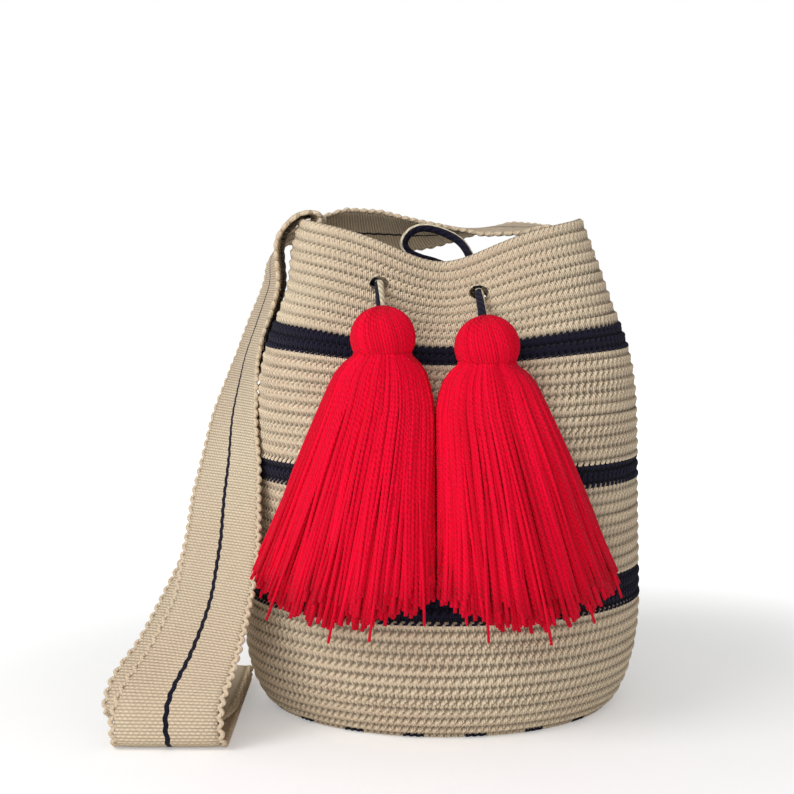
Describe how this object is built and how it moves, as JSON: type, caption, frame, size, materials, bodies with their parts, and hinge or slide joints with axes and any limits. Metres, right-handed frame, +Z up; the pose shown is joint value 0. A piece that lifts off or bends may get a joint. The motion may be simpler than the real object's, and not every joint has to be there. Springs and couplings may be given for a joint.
{
  "type": "wayuu mochila bag",
  "caption": "Crocheted bucket bag with navy stripes, a gathered drawstring mouth, a woven shoulder strap and red yarn tassels on the cord's ends.",
  "frame": {"origin": "centre of the flat base, on the surface the bag stands on", "axes": "+Z up, -Y the front with the tassels, +X to the right seen from the front"},
  "size_m": [0.3199, 0.2841, 0.3144],
  "materials": {
    "crochet": "matt crocheted cotton with navy stripes",
    "webbing": "matt woven cotton with a navy line",
    "thread": "matt cotton thread",
    "cord": "matt twisted navy and cream cotton",
    "yarn": "matt twisted red yarn"
  },
  "bodies": {
    "bag": {"bag_body": "crochet", "shoulder_strap": "webbing", "strap_seam_left": "thread", "strap_seam_right": "thread", "drawstring_cord": "cord"},
    "left_tassel": {"drawstring_tail_left": "cord", "tassel_left": "yarn", "tassel_tie_left": "yarn"},
    "right_tassel": {"drawstring_tail_right": "cord", "tassel_right": "yarn", "tassel_tie_right": "yarn"}
  },
  "joints": [
    {"name": "left_tassel_swing", "type": "hinge", "parent": "bag", "child": "left_tassel", "pos_m": [-0.038, -0.06323, 0.26459], "axis": [-1, 0, 0], "range_deg": [0, 75]},
    {"name": "right_tassel_swing", "type": "hinge", "parent": "bag", "child": "right_tassel", "pos_m": [0.022, -0.06029, 0.25922], "axis": [-1, 0, 0], "range_deg": [0, 75]}
  ]
}
